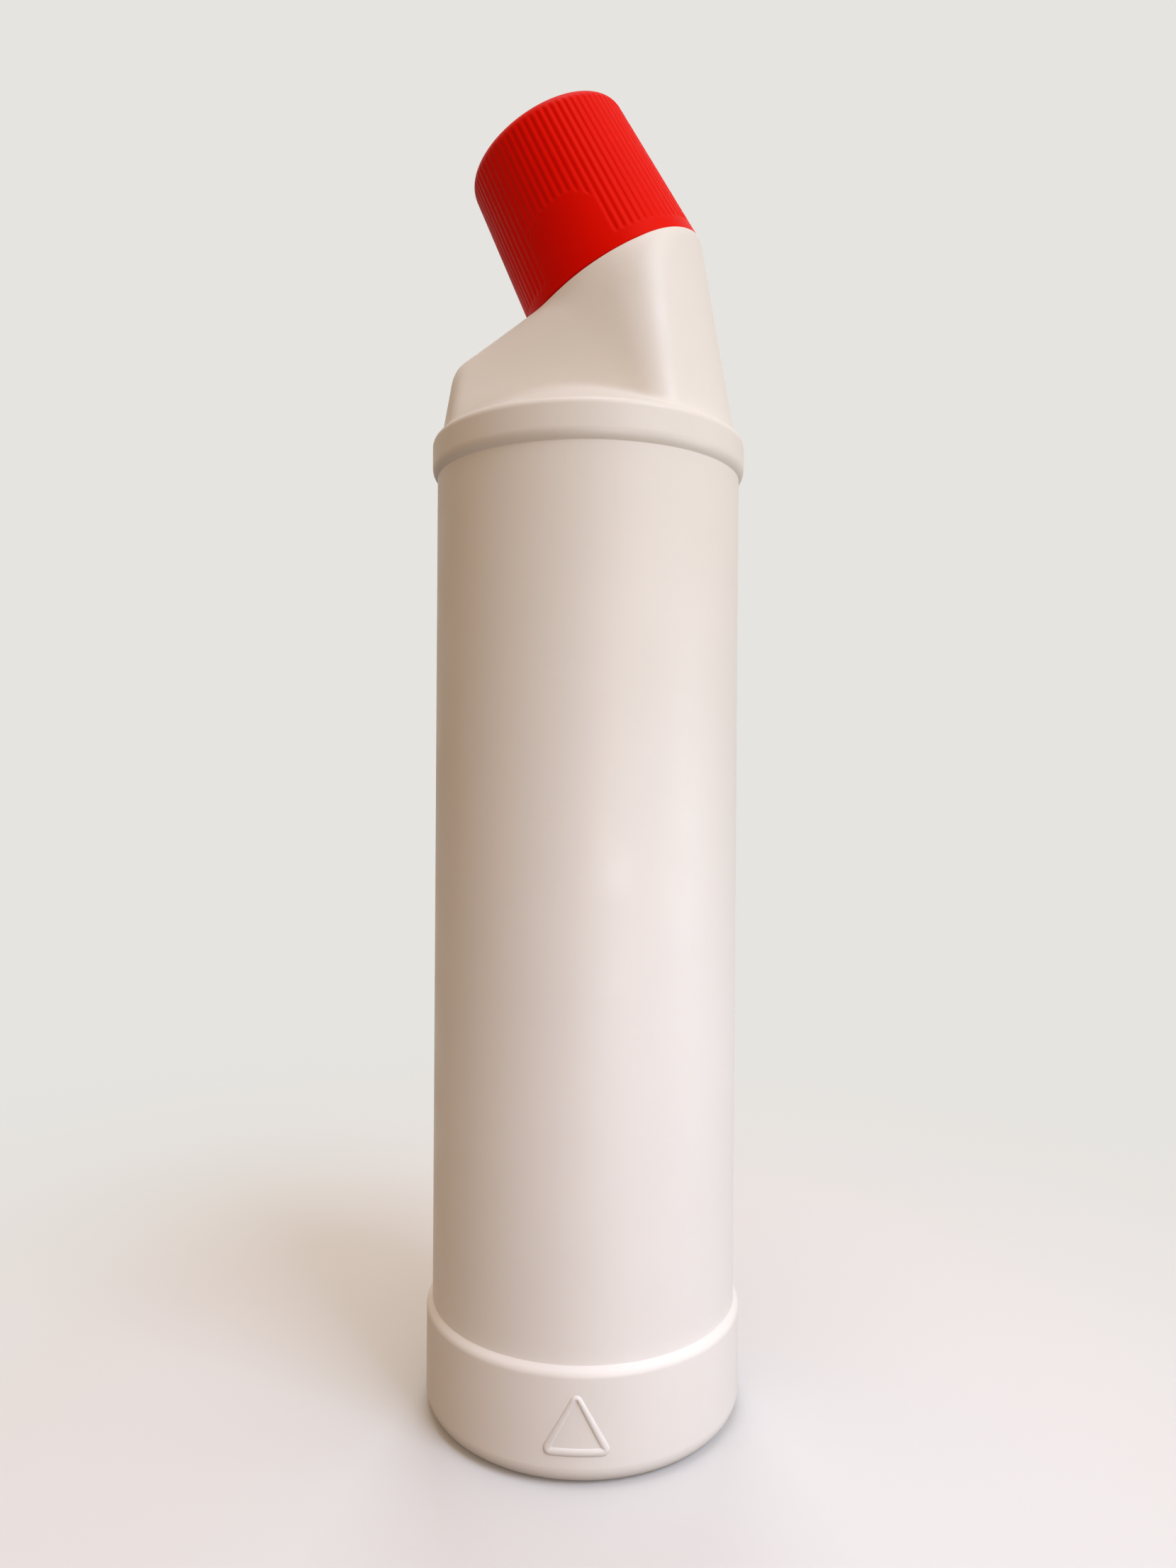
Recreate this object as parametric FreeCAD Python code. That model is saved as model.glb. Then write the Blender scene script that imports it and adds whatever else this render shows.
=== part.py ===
"""Squeeze bottle with an angled neck, a pour nozzle and a child-resistant screw cap.

Frame: millimetres, +Z up the body axis, origin at the middle of the standing plane.
The neck leans towards -X and the front of the bottle faces -Y.
"""
import FreeCAD, Part
import math
import os

V = FreeCAD.Vector

# ---- bottle body -------------------------------------------------------------------
WALL = 1.2                  # blown wall, all over
PANEL_RADIUS = 33.75        # straight label panel
PANEL_HEIGHT = 182.4
FOOT_HEIGHT = 23.3          # band round the foot
FOOT_PROUD = 1.25           # how far it stands out from the panel
FOOT_ROUND = 4.0            # its lower corner
FOOT_STEP_ROUND = 1.2       # its upper corner
STANDING_RIM = 8.0          # width of the ring that the bottle stands on, with its corner
PUSH_UP_HEIGHT = 3.5        # recessed middle of the foot
PUSH_UP_ROUND = 2.0
BEAD_HEIGHT = 7.8           # ring above the panel
BEAD_PROUD = 1.11
BEAD_FLANK = 1.0            # height of its sloping underside
BEAD_ROOT_ROUND = 0.5       # where the underside meets the panel
BEAD_ROUND_LOW = 1.6
BEAD_ROUND_HIGH = 1.7

# ---- neck --------------------------------------------------------------------------
NECK_TILT = 27.5            # degrees from upright, towards -X
NECK_BORE = 10.8            # radius
NECK_WALL = 1.8
NECK_HEIGHT = 21.0          # lip above the ledge
NECK_LIP_ROUND = 0.5
NECK_ROOT = 2.4             # how far its tube runs down into the shoulder
NECK_RING_PROUD = 1.7       # ring under the thread
NECK_RING_HEIGHT = 5.6
NECK_RING_WIDTH = 1.6
STOP_PROUD = 4.0            # stops that catch the cap's lugs
STOP_WIDTH = 2.4
STOP_HEIGHT = 4.6
STOP_ANGLE = 60.0           # turn of the first stop about the neck

# ---- cap ---------------------------------------------------------------------------
CAP_GAP = 0.2               # cap edge above the ledge
CAP_WALL = 1.5
CAP_ROOF = 1.8
CAP_TAPER = 2.5             # radius lost from the edge to the top
CAP_TOP_ROUND = 3.2
CAP_EDGE_ROUND = 0.4
CAP_HOLLOW_ROUND = 1.0
SQUEEZE_ROOM = 2.55         # between the stops and the cap's outer skirt
RIB_PITCH = 1.78
RIB_DEPTH = 0.35
RIB_OUTLINE = ((0.0, 0), (0.22, 0), (0.42, 1), (0.8, 1))   # share of the pitch, share of the depth
RIB_START = 2.9             # above the cap edge
RIB_TRIM = 0.1              # ribs are drawn this much too deep, and the cap's form trims them
PAD_WIDTH = 16.8            # smooth squeeze pads
PAD_HEIGHT = 15.7
PAD_CORNER = 6.0
PAD_ANGLE = -114.0          # turn of the first pad about the neck axis
SKIRT_ROOM = 1.5            # between the neck and the inner skirt, for the thread
SKIRT_WALL = 1.4
SKIRT_CLEARANCE = 1.5       # between the neck's ring and the inner skirt's edge
SKIRT_ROOT = 0.5            # how far the inner skirt runs up into the roof
LUG_WIDTH = 2.6
LUG_HEIGHT = 4.0
LUG_START = 0.4             # above the cap edge
LUG_CLEARANCE = 0.5         # between lugs and stops while the cap isn't squeezed
LUG_ANGLE = 30.0            # from a stop round to the next lug
LUG_ROOT = 0.35             # how far a lug runs into the outer skirt
LINER_THICKNESS = 1.6
LINER_CLEARANCE = 0.3

# ---- pour nozzle -------------------------------------------------------------------
NOZZLE_FIT = 0.03           # radial, between plug and neck bore
NOZZLE_WALL = 1.1
NOZZLE_PLUG_DEPTH = 9.0
FLANGE_THICKNESS = 1.3
FLANGE_STEP = 0.3           # from the edge of the neck's lip in to the flange
FLANGE_ROUND = 0.4
SPOUT_RADIUS_LOW = 6.4
SPOUT_RADIUS_HIGH = 3.6
SPOUT_HEIGHT = 10.6
SPOUT_ROUND = 0.6
ORIFICE = 1.6               # radius
ORIFICE_LENGTH = 3.3
SEAL_GAP = 0.05             # spout to liner, and liner to cap

# ---- shoulder ----------------------------------------------------------------------
SHOULDER_STEP = 0.75        # from the panel's radius in to the foot of the shoulder
SHOULDER_TAPER = 10.0       # half angle of the shoulder cone, degrees
LEDGE_RISE = 35.4           # middle of the ledge that the cap stands on, above the bead
LEDGE_PROUD = 0.26          # its high edge past the shoulder cone
COLLAR_PROUD = 0.5          # collar under the cap, past the cap's edge
COLLAR_FLARE = 10.0
CHEEK_STEP = 2.283          # from the collar in to the grip cheeks, level with the ledge
CHEEK_TURN = 15.0           # cheeks draw together towards -X, degrees from the XZ plane
CHEEK_LEAN = 10.0           # and towards the top
CHEEK_SCOOP_RADIUS = 200.0
CHEEK_SCOOP_START = -10.0
CROWN_RADIUS = 31.3         # rounded back of the low side of the shoulder
CROWN_SLOPE = 32.3
CROWN_REACH = 31.0          # from the ledge's middle towards -X
CROWN_DROP = 15.9           # and down, to a point of the crown
SHELF_SLOPE = 27.5          # shelf round the foot of the cheeks, up from level
SHELF_HEIGHT = 5.4          # level of the first fanned section above the bead
SHELF_COUNT = 8             # level sections through the shelf
BLEND_CONE = 4.0            # widths over which two forms run into each other
BLEND_COLLAR = 4.0
BLEND_COLLAR_LOW = 1.2      # at the low side of the collar
BLEND_COLLAR_REACH = 15.0   # from the collar's middle down to where that is so
BLEND_SHELF = 1.5
BLEND_CROWN = 9.7
BLEND_LEDGE = 1.3
SECTION_POINTS = 36
SECTION_COUNT = 11
SECTION_CROWDING = 2.1      # sections stand closer together towards the rim
HAIR = 1e-6                 # what counts as touching

# ---- sizes that follow -------------------------------------------------------------
TILT = math.radians(NECK_TILT)
FOOT_RADIUS = PANEL_RADIUS + FOOT_PROUD
BEAD_RADIUS = PANEL_RADIUS + BEAD_PROUD
SHOULDER_RADIUS = PANEL_RADIUS - SHOULDER_STEP
PANEL_TOP = FOOT_HEIGHT + PANEL_HEIGHT
BEAD_TOP = PANEL_TOP + BEAD_HEIGHT
SHELF_Z = BEAD_TOP + SHELF_HEIGHT
LEDGE_Z = BEAD_TOP + LEDGE_RISE

NECK_RADIUS = NECK_BORE + NECK_WALL
STOP_REACH = NECK_RADIUS + STOP_PROUD
CAP_RADIUS = STOP_REACH + SQUEEZE_ROOM + CAP_WALL + RIB_DEPTH
COLLAR_RADIUS = CAP_RADIUS + COLLAR_PROUD
SKIRT_BORE = NECK_RADIUS + SKIRT_ROOM
SKIRT_LOW = NECK_RING_HEIGHT + NECK_RING_WIDTH / 2 + SKIRT_CLEARANCE
RIB_COUNT = round(2 * math.pi * CAP_RADIUS / RIB_PITCH)

FLANGE_TOP = NECK_HEIGHT + FLANGE_THICKNESS
SPOUT_TOP = FLANGE_TOP + SPOUT_HEIGHT
LINER_FLOOR = SPOUT_TOP + SEAL_GAP
CAP_CEILING = LINER_FLOOR + LINER_THICKNESS + SEAL_GAP
CAP_TOP = CAP_CEILING + CAP_ROOF
CAP_HEIGHT = CAP_TOP - CAP_GAP


def rounded_wire(corners):
    """Closed wire in the XZ plane through corners given as (x, z, corner radius)."""
    edges, ends = [], []
    count = len(corners)
    for i in range(count):
        x, z, radius = corners[i]
        here = V(x, 0, z)
        before = V(corners[i - 1][0], 0, corners[i - 1][1]) - here
        after = V(corners[(i + 1) % count][0], 0, corners[(i + 1) % count][1]) - here
        if radius == 0:
            ends.append((here, here))
            continue
        half = before.getAngle(after) / 2
        reach = radius / math.tan(half)
        before.normalize()
        after.normalize()
        middle = before + after
        middle.normalize()
        bulge = here + middle * (radius / math.sin(half) - radius)
        start, stop = here + before * reach, here + after * reach
        edges.append(Part.Arc(start, bulge, stop).toShape())
        ends.append((start, stop))
    for i in range(count):
        start, stop = ends[i - 1][1], ends[i][0]
        if start.distanceToPoint(stop) > HAIR:
            edges.append(Part.LineSegment(start, stop).toShape())
    return Part.Wire(Part.__sortEdges__(edges))


def turned(corners):
    """Solid of revolution about Z from a closed outline of (radius, height, round)."""
    return Part.Face(rounded_wire(corners)).revolve(V(0, 0, 0), V(0, 0, 1), 360)


def on_neck(shape):
    """Carry a shape made about Z, with the ledge at z = 0, to the leaning neck."""
    turn = FreeCAD.Rotation(V(0, 1, 0), -NECK_TILT)
    shape.Placement = FreeCAD.Placement(V(LEDGE_X, 0, LEDGE_Z), turn)
    return shape


def cone_radius(z):
    """Radius of the plain shoulder cone at a height."""
    return SHOULDER_RADIUS - math.tan(math.radians(SHOULDER_TAPER)) * (z - BEAD_TOP)


# the ledge's high edge stands just past the shoulder cone
LEDGE_X = (cone_radius(LEDGE_Z + COLLAR_RADIUS * math.sin(TILT))
           - COLLAR_RADIUS * math.cos(TILT) + LEDGE_PROUD)


def greater(a, b, blend):
    """Larger of two numbers, run together where they are nearly equal."""
    near = max(blend - abs(a - b), 0)
    return max(a, b) + near * near / (4 * blend)


def lesser(a, b, blend):
    """Smaller of two numbers, run together where they are nearly equal."""
    return -greater(-a, -b, blend)


def shoulder_field(x, y, z):
    """Signed distance, about, to the shoulder: a cone, pinched by two grip cheeks and a
    crowned back, joined by the flared collar under the cap, and cut by the ledge. The
    cheeks stand on a sloping shelf that rises inwards from the bead."""
    y = abs(y)
    taper, turn = math.radians(SHOULDER_TAPER), math.radians(CHEEK_TURN)
    lean, slope = math.radians(CHEEK_LEAN), math.radians(CROWN_SLOPE)
    flare, ramp = math.radians(COLLAR_FLARE), math.radians(SHELF_SLOPE)
    out = math.hypot(x, y)
    cone = (out - cone_radius(z)) * math.cos(taper)
    shelf = (z - BEAD_TOP) * math.cos(ramp) + (out - SHOULDER_RADIUS) * math.sin(ramp)
    scoop = max(x - CHEEK_SCOOP_START, 0) ** 2 / (2 * CHEEK_SCOOP_RADIUS)
    depth = COLLAR_RADIUS - CHEEK_STEP + math.tan(lean) * (LEDGE_Z - z)
    cheek = (math.cos(turn) * (y - scoop) - math.sin(turn) * x - depth) * math.cos(lean)
    back = (z - LEDGE_Z + CROWN_DROP) * math.cos(slope)
    back += -(x - LEDGE_X + CROWN_REACH) * math.sin(slope) + y * y / (2 * CROWN_RADIUS)
    along = (z - LEDGE_Z) * math.cos(TILT) - (x - LEDGE_X) * math.sin(TILT)
    across = (x - LEDGE_X) * math.cos(TILT) + (z - LEDGE_Z) * math.sin(TILT)
    collar = math.hypot(across, y) - COLLAR_RADIUS + math.tan(flare) * along
    collar *= math.cos(flare)
    low = min(max(-across / BLEND_COLLAR_REACH, 0), 1)
    join = BLEND_COLLAR + (BLEND_COLLAR_LOW - BLEND_COLLAR) * low
    side = lesser(greater(cheek, back, BLEND_CROWN), collar, join)
    side = greater(greater(cone, side, BLEND_CONE), along, BLEND_LEDGE)
    return max(cone, lesser(side, shelf, BLEND_SHELF))


def section(fan, inset, level=SHELF_Z):
    """Closed smooth wire where a plane cuts the shoulder. The planes fan out from the
    line where the level plane meets the ledge's: fan 0 is level, fan 1 the ledge."""
    angle = fan * TILT
    base_z = level - inset
    hinge_x = LEDGE_X + ((base_z - LEDGE_Z) * math.cos(TILT) + inset) / math.sin(TILT)
    taper = math.tan(math.radians(SHOULDER_TAPER))
    radius = cone_radius(base_z) - inset
    rise = math.tan(angle)
    low_x = (-radius + taper * rise * -hinge_x) / (1 - taper * rise)
    high_x = (radius + taper * rise * hinge_x) / (1 + taper * rise)
    centre_x = (low_x + high_x) / 2
    centre = V(centre_x, 0, base_z + (centre_x - hinge_x) * rise)
    points = []
    for i in range(SECTION_POINTS):
        turn = 2 * math.pi * i / SECTION_POINTS
        ray = V(math.cos(turn) * math.cos(angle), math.sin(turn),
                math.cos(turn) * math.sin(angle))
        near, far = 0.0, 2 * SHOULDER_RADIUS
        while far - near > HAIR:
            middle = (near + far) / 2
            point = centre + ray * middle
            if shoulder_field(point.x, point.y, point.z) < HAIR - inset:
                near = middle
            else:
                far = middle
        points.append(centre + ray * near)
    curve = Part.BSplineCurve()
    turns = [i / SECTION_POINTS for i in range(SECTION_POINTS + 1)]
    curve.interpolate(Points=points, PeriodicFlag=True, Parameters=turns)
    return Part.Wire([curve.toShape()])


def shoulder(inset):
    """Shoulder from the bead to the ledge: a ruled shelf, then fanned sections."""
    levels = []
    for i in range(SHELF_COUNT):
        levels.append(section(0, inset, BEAD_TOP + SHELF_HEIGHT * i / SHELF_COUNT))
    first = section(0, inset)
    low = Part.makeLoft(levels + [first], True, True)
    wires = [first]
    for i in range(1, SECTION_COUNT + 1):
        fan = 1 - (1 - i / SECTION_COUNT) ** SECTION_CROWDING
        wires.append(section(fan, inset))
    high = Part.makeLoft(wires, True, False)
    return low.fuse(high)


def body_solid(inset):
    """Foot, panel and bead as one turned solid, drawn in by the inset."""
    rim = FOOT_RADIUS - STANDING_RIM
    foot = FOOT_RADIUS - inset
    panel = PANEL_RADIUS - inset
    bead = BEAD_RADIUS - inset
    foot_top = FOOT_HEIGHT - inset
    bead_low = PANEL_TOP + inset * math.tan(math.atan2(BEAD_PROUD, BEAD_FLANK) / 2)
    corners = [
        (0, PUSH_UP_HEIGHT + inset, 0),
        (rim - PUSH_UP_HEIGHT, PUSH_UP_HEIGHT + inset, PUSH_UP_ROUND),
        (rim, inset, PUSH_UP_ROUND / 2),
        (foot, inset, FOOT_ROUND - inset),
        (foot, foot_top, max(FOOT_STEP_ROUND - inset, 0)),
        (panel, foot_top, 0),
        (panel, bead_low, BEAD_ROOT_ROUND + inset),
        (bead, bead_low + BEAD_FLANK, max(BEAD_ROUND_LOW - inset, 0)),
        (bead, BEAD_TOP - inset, max(BEAD_ROUND_HIGH - inset, 0)),
        (0, BEAD_TOP - inset, 0),
    ]
    return turned(corners)


def neck_outside():
    """Neck tube as a solid bar with its ring, and the two stops for the cap."""
    low = NECK_RING_HEIGHT - NECK_RING_WIDTH / 2
    high = NECK_RING_HEIGHT + NECK_RING_WIDTH / 2
    ring = NECK_RADIUS + NECK_RING_PROUD
    shape = turned([
        (0, -NECK_ROOT, 0), (NECK_RADIUS, -NECK_ROOT, 0), (NECK_RADIUS, low, 0),
        (ring, low, 0), (ring, high, 0), (NECK_RADIUS, high, 0),
        (NECK_RADIUS, NECK_HEIGHT, NECK_LIP_ROUND), (0, NECK_HEIGHT, 0),
    ])
    root = NECK_WALL / 2
    for side in (0, 180):
        stop = Part.makeBox(STOP_PROUD + root, STOP_WIDTH, STOP_HEIGHT + WALL / 2,
                            V(NECK_RADIUS - root, -STOP_WIDTH / 2, -WALL / 2))
        stop.rotate(V(0, 0, 0), V(0, 0, 1), STOP_ANGLE + side)
        shape = shape.fuse(stop)
    return on_neck(shape)


def bottle():
    """One blown shell: everything outside, less the same form drawn in by the wall."""
    outside = body_solid(0).fuse(shoulder(0)).fuse(neck_outside())
    low, high = -NECK_ROOT - WALL, NECK_HEIGHT + WALL
    bore = turned([
        (0, low, 0), (NECK_BORE, low, 0), (NECK_BORE, high, 0), (0, high, 0),
    ])
    inside = body_solid(WALL).fuse(shoulder(WALL)).fuse(on_neck(bore))
    return outside.cut(inside)


def nozzle_insert():
    """Plug pressed into the neck bore, with a flange on the lip and a tapered spout."""
    plug = NECK_BORE - NOZZLE_FIT
    plug_low = NECK_HEIGHT - NOZZLE_PLUG_DEPTH
    flange = NECK_RADIUS - FLANGE_STEP
    throat = SPOUT_RADIUS_LOW - NOZZLE_WALL
    return on_neck(turned([
        (plug - NOZZLE_WALL, plug_low, 0), (plug, plug_low, 0), (plug, NECK_HEIGHT, 0),
        (flange, NECK_HEIGHT, 0), (flange, FLANGE_TOP, FLANGE_ROUND),
        (SPOUT_RADIUS_LOW, FLANGE_TOP, 0), (SPOUT_RADIUS_HIGH, SPOUT_TOP, SPOUT_ROUND),
        (ORIFICE, SPOUT_TOP, 0), (ORIFICE, SPOUT_TOP - ORIFICE_LENGTH, 0),
        (throat, NECK_HEIGHT, 0), (plug - NOZZLE_WALL, NECK_HEIGHT, 0),
    ]))


def cap_radius(height, depth=0.0):
    """Outside radius of the cap above its edge, less a depth."""
    return CAP_RADIUS - CAP_TAPER * height / CAP_HEIGHT - depth


def cap_form(depth):
    """The cap's outside as a solid tapered drum with a rounded top."""
    return turned([
        (0, CAP_GAP, 0), (cap_radius(0, depth), CAP_GAP, CAP_EDGE_ROUND),
        (cap_radius(CAP_HEIGHT, depth), CAP_TOP - depth, CAP_TOP_ROUND), (0, CAP_TOP - depth, 0),
    ])


def rib_drum():
    """Tapered drum with a rib for each tooth, a little larger than the cap's outside."""
    wires = []
    for height in (RIB_START, CAP_HEIGHT):
        root = cap_radius(height, RIB_DEPTH)
        points = []
        for i in range(RIB_COUNT):
            for share, rise in RIB_OUTLINE:
                turn = 2 * math.pi * (i + share) / RIB_COUNT
                radius = root + rise * (RIB_DEPTH + RIB_TRIM)
                points.append(V(radius * math.cos(turn), radius * math.sin(turn),
                                CAP_GAP + height))
        wires.append(Part.makePolygon(points + points[:1]))
    return Part.makeLoft(wires, True, True)


def pad_block():
    """Rounded upright block that holds the two squeeze pads, one each side."""
    half = PAD_WIDTH / 2
    top = CAP_GAP + PAD_HEIGHT
    outline = rounded_wire([
        (-half, CAP_GAP, 0), (half, CAP_GAP, 0),
        (half, top, PAD_CORNER), (-half, top, PAD_CORNER),
    ])
    length = 3 * CAP_RADIUS
    outline.translate(V(0, -length / 2, 0))
    block = Part.Face(outline).extrude(V(0, length, 0))
    block.rotate(V(0, 0, 0), V(0, 0, 1), PAD_ANGLE + 90)
    return block


def cap():
    """Ribbed outer skirt with smooth pads, lugs inside it, and a plain inner skirt."""
    form = cap_form(0)
    edge_band = Part.makeCylinder(2 * CAP_RADIUS, CAP_GAP + RIB_START)
    smooth = form.common(edge_band.fuse(pad_block()))
    outside = cap_form(RIB_DEPTH).fuse(form.common(rib_drum())).fuse(smooth)
    depth = RIB_DEPTH + CAP_WALL
    hollow = turned([
        (0, 0, 0), (cap_radius(0, depth), 0, 0),
        (cap_radius(CAP_HEIGHT, depth), CAP_CEILING, CAP_HOLLOW_ROUND), (0, CAP_CEILING, 0),
    ])
    skirt_top = CAP_CEILING + SKIRT_ROOT
    skirt = turned([
        (SKIRT_BORE, SKIRT_LOW, 0), (SKIRT_BORE + SKIRT_WALL, SKIRT_LOW, 0),
        (SKIRT_BORE + SKIRT_WALL, skirt_top, 0), (SKIRT_BORE, skirt_top, 0),
    ])
    shape = outside.cut(hollow).fuse(skirt)
    lug_inner = STOP_REACH + LUG_CLEARANCE
    lug_outer = cap_radius(0, depth) + LUG_ROOT
    for side in (0, 180):
        lug = Part.makeBox(lug_outer - lug_inner, LUG_WIDTH, LUG_HEIGHT,
                           V(lug_inner, -LUG_WIDTH / 2, CAP_GAP + LUG_START))
        lug.rotate(V(0, 0, 0), V(0, 0, 1), STOP_ANGLE + LUG_ANGLE + side)
        shape = shape.fuse(lug)
    return on_neck(shape)


def cap_liner():
    """Foam wad under the cap's roof, which the nozzle tip presses on."""
    radius = SKIRT_BORE - LINER_CLEARANCE
    return on_neck(Part.makeCylinder(radius, LINER_THICKNESS, V(0, 0, LINER_FLOOR)))


def export(name, shape):
    """Write one sub-part as a single clean solid."""
    solid = shape.removeSplitter().Solids
    if len(solid) != 1:
        raise ValueError("%s came out as %d solids" % (name, len(solid)))
    solid[0].exportStep("parts/%s.step" % name)


os.makedirs("parts", exist_ok=True)
export("bottle", bottle())
export("nozzle_insert", nozzle_insert())
export("cap", cap())
export("cap_liner", cap_liner())
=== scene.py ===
"""White squeeze bottle for toilet cleaner, with a leaning neck and a red screw cap.

Sizes are in millimetres until piece() turns them into metres. +Z is up the body, the
front faces -Y, and the neck leans towards -X.
"""
import bpy
import math
import numpy as np
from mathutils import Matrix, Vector


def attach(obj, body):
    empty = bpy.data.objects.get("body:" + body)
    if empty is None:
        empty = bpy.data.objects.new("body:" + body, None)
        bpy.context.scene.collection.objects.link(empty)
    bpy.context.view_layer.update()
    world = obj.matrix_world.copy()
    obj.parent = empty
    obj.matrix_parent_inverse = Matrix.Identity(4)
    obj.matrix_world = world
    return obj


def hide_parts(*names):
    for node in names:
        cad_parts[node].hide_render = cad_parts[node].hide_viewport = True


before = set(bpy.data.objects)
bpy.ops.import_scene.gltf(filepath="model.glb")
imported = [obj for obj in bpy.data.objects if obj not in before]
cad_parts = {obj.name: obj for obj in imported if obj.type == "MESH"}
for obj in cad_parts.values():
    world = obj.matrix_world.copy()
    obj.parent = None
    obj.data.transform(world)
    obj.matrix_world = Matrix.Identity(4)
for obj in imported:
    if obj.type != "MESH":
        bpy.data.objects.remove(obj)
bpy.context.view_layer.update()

MM = 0.001
HAIR = 1e-6
COLUMNS = 256               # points round the bottle

# ---- blown body
WALL = 1.2
PANEL_RADIUS = 33.75
PANEL_TOP = 204.95
FOOT_RADIUS = 35.0
FOOT_TOP = 23.3
FOOT_FALL = 1.0             # how far its top slopes down to its edge
FOOT_LIFT = 0.2             # and up to the panel
FOOT_ROUND, FOOT_EDGE_ROUND = 4.0, 1.9
RIM_RADIUS = 27.0           # inner edge of the ring it stands on
PUSH_UP = 3.5
BEAD_RADIUS = 34.86
BEAD_TOP = 213.5
BEAD_FLANK = 1.05           # height of its sloping underside
BEAD_ROUND_LOW, BEAD_ROUND_HIGH = 3.1, 1.7
TIGHT = 0.3                 # rounding where a mould edge is nearly sharp

# ---- shoulder
SHOULDER_RADIUS = 33.0
TAPER = math.radians(10.0)
SHELF_SLOPE = math.radians(27.5)    # shelf round the foot of the cheeks
SHELF_Z = 218.9             # level of the first fanned outline
LEDGE_Z = 248.9
LEDGE_OUT = 0.26            # how far its high edge stands past the cone
COLLAR_RADIUS = 21.5
COLLAR_FLARE = math.radians(11.7)
COLLAR_INSET = 0.1          # of its flare, inside the ledge's edge
CHEEK_STEP = 1.21
CHEEK_TURN = math.radians(23.45)    # at the middle level, where it twists from
CHEEK_TWIST = math.radians(0.287)   # more turn for each millimetre up
CHEEK_MIDDLE = 232.0
CHEEK_LEAN = math.radians(6.24)
CROWN_RADIUS = 300.0
CROWN_SLOPE = math.radians(31.8)
CROWN_REACH = 31.0
CROWN_DROP = 15.47
BLEND_CROWN, BLEND_COLLAR, BLEND_LEDGE, BLEND_SHELF = 9.95, 2.2, 0.8, 1.5
BLEND_CONE, BLEND_CONE_RISE = 4.25, 0.082   # at the middle level, and for each mm up
HEEL_FROM, HEEL_TIGHTER, HEEL_LEAST = -18.0, 0.055, 0.5     # it tightens to the heel
FAN_LAW = 1.7               # gathers the fanned outlines towards the ledge

# ---- neck, measured up its own axis from the ledge
TILT = math.radians(27.5)
NECK_BORE = 10.8
NECK_RADIUS = 12.6
NECK_HEIGHT = 21.0
NECK_FILLET = 0.8
RING_RADIUS = 14.3
RING_LOW, RING_HIGH = 4.8, 6.4
STOP_REACH = 16.6
STOP_WIDTH = 2.4
STOP_HEIGHT = 4.6
STOP_ANGLE = math.radians(60.0)
THREAD_PITCH = 4.2
THREAD_DEPTH = 1.1
THREAD_WIDTH = 1.5
THREAD_FLANK = 0.5
THREAD_TURNS = 2.1
NECK_THREAD_START, CAP_THREAD_START = 9.6, 11.7     # half a pitch apart

# ---- raised triangle that fingertips can feel, on the foot band
SIGN_HEIGHT = 13.7
SIGN_WIDTH = 15.0
SIGN_LOW = 6.4
SIGN_LINE = 1.6             # width of its line at the base
SIGN_THIN = 0.35            # share of that width lost at the top
SIGN_PROUD = 0.36
SIGN_SHIFT = -1.1

# ---- cap
CAP_RADIUS = 21.0
CAP_LOSS = 2.5              # radius lost from edge to top
CAP_LOW, CAP_TOP = 0.2, 36.4
CAP_CEILING = 34.6
CAP_WALL = 1.5
RIB_COUNT = 74
RIB_DEPTH = 0.17
RIB_START = 2.9
RIB_OUTLINE = ((0.0, 0.0), (0.1, 0.0), (0.2, 0.12), (0.3, 0.55), (0.42, 0.95),
               (0.55, 1.0), (0.72, 0.9), (0.88, 0.35))
PAD_WIDTH = 16.8
PAD_HEIGHT = 15.7
PAD_CORNER = 6.0
PAD_ANGLE = math.radians(-114.0)
SKIRT_BORE = 14.1
SKIRT_WALL = 1.4
SKIRT_LOW = 7.9
LUG_INNER = 17.1
LUG_WIDTH = 2.6
LUG_LOW, LUG_HIGH = 0.7, 4.7
LUG_TURN = math.radians(30.0)

# ---- nozzle and liner
PLUG_RADIUS = 10.77
NOZZLE_WALL = 1.1
PLUG_LOW = 12.0
FLANGE_RADIUS = 12.3
FLANGE_TOP = 22.3
SPOUT_LOW, SPOUT_HIGH = 6.4, 3.6
SPOUT_TOP = 32.9
ORIFICE = 1.6
ORIFICE_LENGTH = 3.3
LINER_RADIUS = 13.8
LINER_LOW, LINER_HIGH = 32.95, 34.55


# ==== shapes =========================================================================
def outline(corners, steps=6, hold=0.4):
    """Straight runs through corners given as (radius, height, round). Each corner is an
    arc fanned in equal angles about its centre, with one more point a short hold beyond
    each end of the arc, so that the flats beside it stay flat."""
    corners = np.array(corners, float)
    parts = [corners[:1, :2]]
    for before, here, after in zip(corners[:-2, :2], corners[1:-1], corners[2:, :2]):
        place, radius = here[:2], here[2]
        back = (before - place) / np.hypot(*(before - place))
        onward = (after - place) / np.hypot(*(after - place))
        half = math.acos(np.clip(back @ onward, -1, 1)) / 2
        start = place + back * radius / math.tan(half)
        stop = place + onward * radius / math.tan(half)
        middle = (back + onward) / np.hypot(*(back + onward))
        centre = place + middle * radius / math.sin(half)
        side = np.sign(back[0] * onward[1] - back[1] * onward[0])
        turn = -side * (math.pi - 2 * half) * np.linspace(0, 1, steps + 1)
        arm = start - centre
        arc = centre + np.stack([arm[0] * np.cos(turn) - arm[1] * np.sin(turn),
                                 arm[0] * np.sin(turn) + arm[1] * np.cos(turn)], 1)
        parts += [[start + back * hold], arc, [stop + onward * hold]]
    parts.append(corners[-1:, :2])
    return np.concatenate(parts)


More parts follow.
